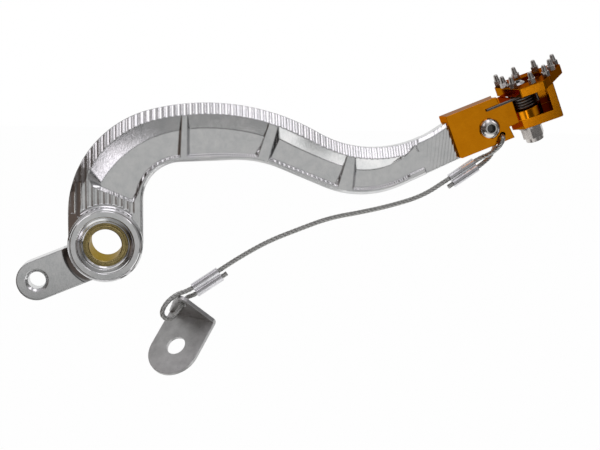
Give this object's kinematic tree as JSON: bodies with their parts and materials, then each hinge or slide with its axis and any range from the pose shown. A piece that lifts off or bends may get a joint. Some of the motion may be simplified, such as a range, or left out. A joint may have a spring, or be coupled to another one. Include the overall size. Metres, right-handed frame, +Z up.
{
  "type": "rear brake pedal",
  "caption": "S-curved machined pedal arm with bushed pivot and clevis lug, clamped toe block, sprung folding toe plate with grip studs, wire rope and drilled bracket.",
  "frame": {"origin": "centre of the pivot bush's bore, midway along it", "axes": "+X forward towards the toe plate, +Y along the pivot towards the bike, +Z up"},
  "size_m": [0.2824, 0.0354, 0.1665],
  "materials": {
    "arm": "polished, machined",
    "bush": "satin, turned",
    "gold": "anodised",
    "stainless": "polished",
    "nylon": "satin",
    "spring_steel": "satin, dark",
    "wire_rope": "stranded",
    "ferrule": "satin",
    "bracket_steel": "satin",
    "stud_steel": "polished"
  },
  "bodies": {
    "pedal": {"pedal_arm": "arm", "pivot_bush": "bush", "tip_block": "gold", "block_bolt": "stainless", "spring_sleeve": "stainless", "return_spring": "spring_steel", "brake_cable": "wire_rope", "ferrule_upper": "ferrule", "ferrule_lower": "ferrule", "frame_bracket": "bracket_steel"},
    "toe": {"toe_piece": "gold", "toe_bolt": "stainless", "nut_washer": "stainless", "lock_nut": "stainless", "nut_ring": "nylon", "stud_01": "stud_steel", "stud_02": "stud_steel", "stud_03": "stud_steel", "stud_04": "stud_steel", "stud_05": "stud_steel", "stud_06": "stud_steel", "stud_07": "stud_steel", "stud_08": "stud_steel", "stud_09": "stud_steel"}
  },
  "joints": [
    {"name": "toe_fold", "type": "hinge", "parent": "pedal", "child": "toe", "pos_m": [0.2113, -0.0052, 0.0842], "axis": [0.4185, 0.1392, -0.8975], "range_deg": [0, 70], "stiffness_Nm_per_rad": 0.25, "springref_deg": -28.65, "deforming": ["return_spring"]}
  ]
}
